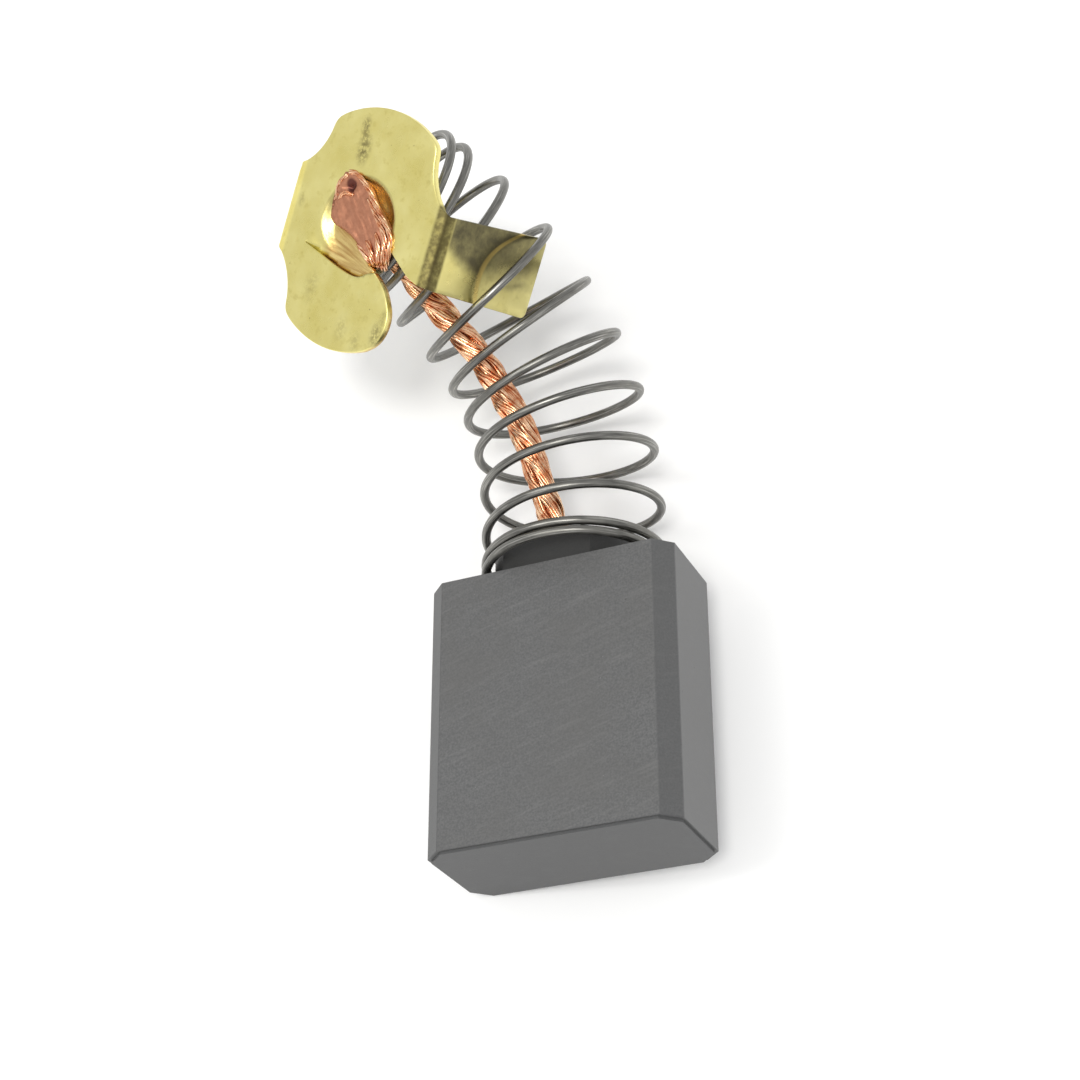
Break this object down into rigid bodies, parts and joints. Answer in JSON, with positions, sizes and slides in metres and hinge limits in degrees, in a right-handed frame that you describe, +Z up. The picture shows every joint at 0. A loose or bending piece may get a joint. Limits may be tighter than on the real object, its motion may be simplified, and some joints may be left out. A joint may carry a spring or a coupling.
{
  "type": "carbon brush",
  "caption": "Carbon brush for a small motor: graphite block, stranded copper shunt, bowed coil spring and two-legged pressed brass terminal.",
  "frame": {"origin": "centre of the contact face of the graphite block", "axes": "+Y from the contact face along the block to the spring and terminal, -Y is the way the contact face looks, +Z up from the surface it lies on"},
  "size_m": [0.0215, 0.039, 0.0192],
  "materials": {
    "graphite": "matte",
    "tamping_powder": "matte",
    "copper": "satin",
    "spring_steel": "satin",
    "brass": "satin"
  },
  "bodies": {
    "root": {"carbon_block": "graphite", "tamping_plug": "tamping_powder", "shunt": "copper", "spring": "spring_steel", "terminal": "brass"}
  },
  "joints": []
}
